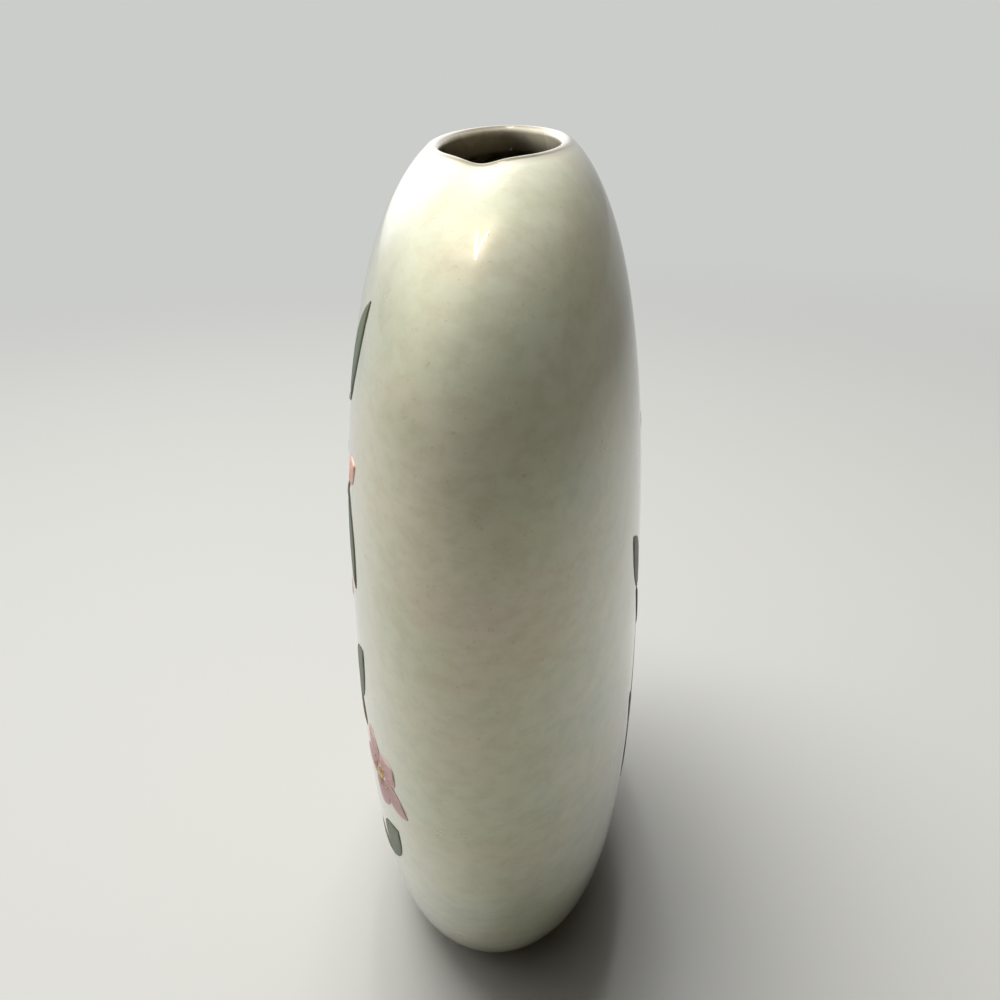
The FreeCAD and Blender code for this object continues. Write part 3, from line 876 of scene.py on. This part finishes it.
def noise(tree, place, scale, detail, roughness):
    """Noise over a place's coordinates; scale is in features per metre."""
    node = add(tree, "ShaderNodeTexNoise", Vector=place, Scale=scale, Detail=detail,
               Roughness=roughness)
    return node.outputs["Fac"]


def ramp(tree, factor, stops):
    """Colours by factor, from a list of positions and colours."""
    node = add(tree, "ShaderNodeValToRGB", Fac=factor)
    elements = node.color_ramp.elements
    while len(elements) < len(stops):
        elements.new(0.5)
    for element, (position, colour) in zip(elements, stops):
        element.position = position
        element.color = (*colour, 1.0)
    return node.outputs["Color"]


def blend(tree, first, second, factor, mode="MIX"):
    """Two colours mixed; the factor and each colour are given as values or as sockets."""
    node = add(tree, "ShaderNodeMix", data_type="RGBA", blend_type=mode)
    for index, value in zip(MIX_INPUTS, (factor, first, second)):
        set_input(tree, node.inputs[index], value)
    return node.outputs[MIX_RESULT]


def combine(tree, operation, first, second=0.0):
    """A sum on one or two numbers or sockets."""
    node = add(tree, "ShaderNodeMath", operation=operation)
    for socket, value in zip(node.inputs, (first, second)):
        set_input(tree, socket, value)
    return node.outputs["Value"]


def remap(tree, value, start=0.0, end=1.0, low=0.0, high=1.0, curve="LINEAR"):
    """A value that runs from start to end, made to run from low to high and held there."""
    node = add(tree, "ShaderNodeMapRange", interpolation_type=curve, Value=value,
               From_Min=start, From_Max=end, To_Min=low, To_Max=high)
    return node.outputs["Result"]


def bump(tree, shader, layers):
    """Bumps on top of each other, from a list of patterns and their heights."""
    normal = None
    for pattern, height in layers:
        node = add(tree, "ShaderNodeBump", Strength=1.0, Distance=height, Height=pattern)
        if normal:
            set_inputs(tree, node, Normal=normal)
        normal = node.outputs["Normal"]
    set_inputs(tree, shader, Normal=normal)


def object_coordinates(tree):
    """The object's own coordinates, in metres."""
    return add(tree, "ShaderNodeTexCoord").outputs["Object"]


def split_axes(tree, vector):
    """The x, y and z of a vector."""
    return tuple(add(tree, "ShaderNodeSeparateXYZ", Vector=vector).outputs)


def darker_rim(tree, colour, wear):
    """The colour with the brown line along the crest, where both glazes lie thin."""
    rim = add(tree, "ShaderNodeAttribute", attribute_name="rim").outputs["Fac"]
    worn = combine(tree, "MULTIPLY", rim, remap(tree, wear, low=0.6, high=1.4))
    return blend(tree, colour, RIM_BROWN, factor=worn)


def pearl_glaze():
    """Ivory pearl glaze: soft pink and olive clouds, a broad lustre and a sharp glassy coat.

    The crest of the lip is browner."""
    material, tree, shader = new_material(
        "pearl_glaze", Metallic=0.06, IOR=1.6, Coat_Weight=1.0, Coat_Roughness=0.035,
        Coat_IOR=1.5, Thin_Film_IOR=1.45)
    place = object_coordinates(tree)
    flattened = add(tree, "ShaderNodeMapping", Vector=place, Scale=(1.0, 1.0, CLOUD_FLATNESS))
    brushed = flattened.outputs["Vector"]
    clouds = noise(tree, brushed, scale=42.0, detail=6.0, roughness=0.62)
    tint = noise(tree, brushed, scale=26.0, detail=5.0, roughness=0.6)
    mottle = noise(tree, brushed, scale=210.0, detail=4.0, roughness=0.65)
    specks = noise(tree, place, scale=900.0, detail=2.0, roughness=0.6)
    waves = noise(tree, place, scale=55.0, detail=2.0, roughness=0.5)
    pores = noise(tree, place, scale=700.0, detail=2.0, roughness=0.5)
    body = ramp(tree, clouds, PEARL_CLOUDS)
    colour = blend(tree, body, ramp(tree, tint, PEARL_TINTS), factor=0.5)
    colour = blend(tree, colour, ramp(tree, mottle, PEARL_MOTTLE), factor=0.5, mode="MULTIPLY")
    colour = blend(tree, colour, ramp(tree, specks, PEARL_SPECKS), factor=0.6, mode="MULTIPLY")
    set_inputs(tree, shader, Base_Color=darker_rim(tree, colour, mottle),
               Roughness=remap(tree, clouds, low=0.2, high=0.42),
               Thin_Film_Thickness=remap(tree, tint, low=180.0, high=330.0))
    bump(tree, shader, [(waves, 0.3 * MM), (mottle, 0.02 * MM), (pores, 0.006 * MM)])
    return material


def liner():
    """Taupe liner glaze, glossy, with painted shade that makes it much darker from just under the
    lip on.
    """
    material, tree, shader = new_material(
        "liner_glaze", IOR=1.55, Coat_Weight=1.0, Coat_Roughness=0.05)
    place = object_coordinates(tree)
    clouds = noise(tree, place, scale=60.0, detail=4.0, roughness=0.55)
    waves = noise(tree, place, scale=90.0, detail=2.0, roughness=0.5)
    colour = darker_rim(tree, ramp(tree, clouds, LINER_CLOUDS), clouds)
    # Painted shade: the liner's colour darkens with depth below the lip, standing in for the shade
    # inside the cavity
    height = split_axes(tree, place)[2]
    depth = remap(tree, height, start=RIM_HEIGHT - LINER_SHADE_DEPTH, end=RIM_HEIGHT)
    colour = blend(tree, colour, ramp(tree, depth, LINER_PAINTED_SHADE), factor=1.0, mode="MULTIPLY")
    set_inputs(tree, shader, Base_Color=colour,
               Roughness=remap(tree, clouds, low=0.2, high=0.34))
    bump(tree, shader, [(waves, 0.2 * MM)])
    return material


def bare_clay():
    """Unglazed foot: off-white, matte and gritty, uneven in tone."""
    material, tree, shader = new_material("bare_clay", Roughness=0.9, IOR=1.45)
    place = object_coordinates(tree)
    grit = noise(tree, place, scale=1400.0, detail=3.0, roughness=0.65)
    tones = noise(tree, place, scale=120.0, detail=3.0, roughness=0.6)
    colour = blend(tree, ramp(tree, tones, CLAY_TONES), ramp(tree, grit, CLAY_GRIT), factor=1.0,
                   mode="MULTIPLY")
    set_inputs(tree, shader, Base_Color=colour)
    bump(tree, shader, [(grit, 0.05 * MM), (tones, 0.08 * MM)])
    return material


def enamel(name, along_stops, tone_stops, edge, streaks):
    """Satin enamel whose colour runs along the motif, with a tone of its own for each motif.

    The motif attribute holds along, from 0 to 1, across, from -1 to 1, and the tone."""
    material, tree, shader = new_material(name, IOR=1.4, Coat_Weight=0.12, Coat_Roughness=0.15)
    motif = add(tree, "ShaderNodeAttribute", attribute_name="motif").outputs["Vector"]
    along, across, tone = split_axes(tree, motif)
    mottle = noise(tree, object_coordinates(tree), scale=420.0, detail=3.0, roughness=0.6)
    uneven = combine(tree, "ADD", along, remap(tree, mottle, low=-0.14, high=0.14))
    colour = blend(tree, ramp(tree, uneven, along_stops), ramp(tree, tone, tone_stops),
                   factor=TONE_SHARE)
    to_edge = combine(tree, "POWER", combine(tree, "ABSOLUTE", across), EDGE_COLOUR_POWER)
    share = combine(tree, "MULTIPLY", to_edge, EDGE_COLOUR_SHARE)
    colour = blend(tree, colour, edge, factor=share)
    if streaks:
        wave = combine(tree, "SINE", combine(tree, "MULTIPLY", across, streaks))
        colour = blend(tree, colour, edge, factor=remap(tree, wave, high=STREAK_SHARE))
    set_inputs(tree, shader, Base_Color=colour,
               Roughness=remap(tree, mottle, low=0.4, high=0.58))
    bump(tree, shader, [(mottle, 0.03 * MM)])
    return material


def gold():
    """Worn gold lustre."""
    material, tree, shader = new_material("gold_enamel", Metallic=0.9, IOR=1.5)
    wear = noise(tree, object_coordinates(tree), scale=1500.0, detail=3.0, roughness=0.6)
    set_inputs(tree, shader, Base_Color=ramp(tree, wear, GOLD_WEAR),
               Roughness=remap(tree, wear, low=0.2, high=0.45))
    bump(tree, shader, [(wear, 0.04 * MM)])
    return material


materials = {
    "clay": bare_clay(),
    "pearl_glaze": pearl_glaze(),
    "liner_glaze": liner(),
}
for enamel_name, look in ENAMELS.items():
    materials[enamel_name] = enamel(enamel_name, **look)
materials["gold_enamel"] = gold()

SLOTS = {"stems": "stem_enamel", "leaves": "leaf_enamel", "petals": "petal_enamel",
         "buds": "bud_enamel", "flower_eyes": "gold_enamel", "stamens": "gold_enamel"}


def finish_piece(piece, slot, *nodes):
    """Material, chosen by its slot's name, and body of a piece; the CAD nodes it stands for are
    hidden.
    """
    piece.data.materials.append(materials[slot])
    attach(piece, BODY)
    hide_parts(*nodes)


finish_piece(clay, "clay", "clay_body")
finish_piece(outer_glaze, "pearl_glaze", "outer_glaze")
finish_piece(liner_glaze, "liner_glaze", "liner_glaze")
for face_name, face in FACES.items():
    for node, piece in make_flowers(face_name, face).items():
        finish_piece(piece, SLOTS[node], f"{face_name}_{node}")


# Studio

BACKDROP = (0.60, 0.61, 0.595)
FLOOR_COLOUR = (0.42, 0.42, 0.409)
FLOOR_RADIUS = 6.0
FLOOR_CORNERS = 128
FADE_START = 0.12
FADE_END = 1.1

# The strip lamps hang on both sides of the middle, turned by this many radians each way
STRIP_X = -0.1
STRIP_Y = 0.0425
STRIP_HEIGHT = 1.2
STRIP_TURN = 0.17

# The light of the room, and the painted reflection that the far floor glows with in gloss:
# directions from the vase, each with colours from 0, straight away from it, to 1, straight at it.
# The room is bright on its far side, at its ceiling and at its window, and dim towards the camera;
# where these overlap, the lighter one counts.
ROOM = {
    "far_side": ((-1.0, -0.6, 0.1),
                 [(0.0, (0.022, 0.017, 0.008)), (0.5, (0.036, 0.029, 0.015)),
                  (0.72, (0.09, 0.084, 0.066)), (0.86, (0.27, 0.27, 0.26)),
                  (1.0, (0.44, 0.44, 0.425))]),
    "ceiling": ((-0.3, -0.62, 0.75),
                [(0.6, BLACK), (0.76, (0.18, 0.18, 0.17)), (0.9, (0.72, 0.71, 0.67)),
                 (0.98, (1.35, 1.34, 1.27))]),
    "window": ((-1.0, -0.36, 0.42),
               [(0.86, BLACK), (0.95, (0.7, 0.7, 0.68)), (0.985, (1.7, 1.7, 1.66))]),
}
# Painted reflection: the colour that the far floor glows with in gloss, by direction, dark towards
# the camera and the right
FAR_FLOOR_PAINTED_REFLECTION = ((-1.0, -0.6, 0.0),
             [(0.4, (0.07, 0.059, 0.04)), (0.75, (0.17, 0.163, 0.147)), (1.0, BACKDROP)])


def camera_or(tree, ray):
    """1 for rays from the camera and for one more kind of ray, 0 for all others."""
    paths = add(tree, "ShaderNodeLightPath")
    return combine(tree, "MAXIMUM", paths.outputs["Is Camera Ray"], paths.outputs[ray])


def light_towards(tree, direction, target, stops):
    """Light by direction: a ramp from 0, straight away from the target, to 1, straight at it."""
    dot = add(tree, "ShaderNodeVectorMath", operation="DOT_PRODUCT")
    for socket, value in zip(dot.inputs, (direction, Vector(target).normalized())):
        set_input(tree, socket, value)
    return ramp(tree, remap(tree, dot.outputs["Value"], start=-1.0), stops)


def make_floor():
    """A round floor whose far part takes the backdrop's colour, and in gloss glows with a dimmer
    colour by direction: a painted reflection.
    """
    vertices = []
    for step in range(FLOOR_CORNERS):
        turn = 2 * math.pi * step / FLOOR_CORNERS
        vertices.append((FLOOR_RADIUS * math.cos(turn), FLOOR_RADIUS * math.sin(turn), 0.0))
    floor = new_object("floor", vertices, [tuple(range(FLOOR_CORNERS))])
    material, tree, shader = new_material("floor", Base_Color=FLOOR_COLOUR, Roughness=0.7)
    place = object_coordinates(tree)
    distance = add(tree, "ShaderNodeVectorMath", operation="LENGTH", Vector=place)
    fade = remap(tree, distance.outputs["Value"], start=FADE_START, end=FADE_END,
                 curve="SMOOTHSTEP")
    direction = add(tree, "ShaderNodeVectorMath", operation="NORMALIZE", Vector=place)
    # Painted reflection: in gloss the far floor glows with a colour by direction, which the glaze
    # reflects
    painted_reflection = light_towards(tree, direction.outputs["Vector"], *FAR_FLOOR_PAINTED_REFLECTION)
    seen = add(tree, "ShaderNodeLightPath").outputs["Is Camera Ray"]
    glow = add(tree, "ShaderNodeEmission", Color=blend(tree, painted_reflection, BACKDROP, factor=seen),
               Strength=1.0)
    share = combine(tree, "MULTIPLY", fade, camera_or(tree, "Is Glossy Ray"))
    mix = add(tree, "ShaderNodeMixShader")
    for socket, source in zip(mix.inputs, (share, shader.outputs[0], glow.outputs[0])):
        set_input(tree, socket, source)
    set_inputs(tree, tree.nodes["Material Output"], Surface=mix.outputs[0])
    floor.data.materials.append(material)


def make_world():
    """The backdrop where the camera looks, also through glass, and the room for all other rays."""
    world = bpy.data.worlds.new("studio")
    bpy.context.scene.world = world
    world.use_nodes = True
    tree = world.node_tree
    direction = add(tree, "ShaderNodeTexCoord").outputs["Generated"]
    light = BLACK
    for target, stops in ROOM.values():
        light = blend(tree, light, light_towards(tree, direction, target, stops), factor=1.0,
                      mode="LIGHTEN")
    seen = camera_or(tree, "Is Transmission Ray")
    set_inputs(tree, tree.nodes["Background"], Color=blend(tree, light, BACKDROP, factor=seen))


def soft_lamp(name, place, target, size, power, colour):
    """A rectangular soft lamp that faces a target."""
    data = bpy.data.lights.new(name, "AREA")
    data.shape = "RECTANGLE"
    data.size, data.size_y = size
    data.energy = power
    data.color = colour
    lamp = bpy.data.objects.new(name, data)
    bpy.context.scene.collection.objects.link(lamp)
    lamp.location = place
    lamp.rotation_euler = (Vector(target) - Vector(place)).to_track_quat("-Z", "Y").to_euler()
    return lamp


def make_lamps():
    """A large soft lamp high on the front's side, and two narrow strips overhead.

    The strips meet towards the camera and show in the shoulder as a V; the large lamp doesn't
    show in the glaze."""
    window = soft_lamp("window_left", place=(-0.18, -0.3, 1.3), target=(0.0, 0.0, 0.15),
                       size=(0.9, 0.7), power=20.5, colour=(1.0, 0.995, 0.975))
    window.visible_glossy = False
    for number, side in enumerate((1, -1)):
        y = -side * STRIP_Y
        strip = soft_lamp(f"strip_overhead_{number}", place=(STRIP_X, y, STRIP_HEIGHT),
                          target=(STRIP_X, y, 0.0), size=(0.5, 0.025), power=1.5, colour=WHITE)
        strip.rotation_euler.z += side * STRIP_TURN


# Camera, at the photograph's viewing angle

CAMERA_PLACE = (0.22736, 0.01799, 0.20347)
CAMERA_YAW = -0.082
CAMERA_SLOPE = 0.42193
CAMERA_ROLL = -0.0047
CAMERA_LENS = 36.0
CAMERA_NEAREST = 10.0 * MM


def make_camera():
    """The camera: it looks down along -X by its slope, turned by its yaw and its roll."""
    pitch = math.atan(CAMERA_SLOPE)
    forward = Vector((-math.cos(pitch) * math.cos(CAMERA_YAW),
                      math.cos(pitch) * math.sin(CAMERA_YAW), -math.sin(pitch)))
    level = Vector((math.sin(CAMERA_YAW), math.cos(CAMERA_YAW), 0.0))
    upward = level.cross(forward)
    across = level * math.cos(CAMERA_ROLL) + upward * math.sin(CAMERA_ROLL)
    upright = upward * math.cos(CAMERA_ROLL) - level * math.sin(CAMERA_ROLL)
    lens = bpy.data.cameras.new("camera")
    lens.lens = CAMERA_LENS
    lens.sensor_width = CAMERA_LENS
    lens.clip_start = CAMERA_NEAREST
    camera = bpy.data.objects.new("camera", lens)
    bpy.context.scene.collection.objects.link(camera)
    turned = Matrix((across, upright, -forward)).transposed().to_4x4()
    camera.matrix_world = Matrix.Translation(CAMERA_PLACE) @ turned
    bpy.context.scene.camera = camera


make_floor()
make_world()
make_lamps()
make_camera()
bpy.context.scene.view_settings.view_transform = "Standard"
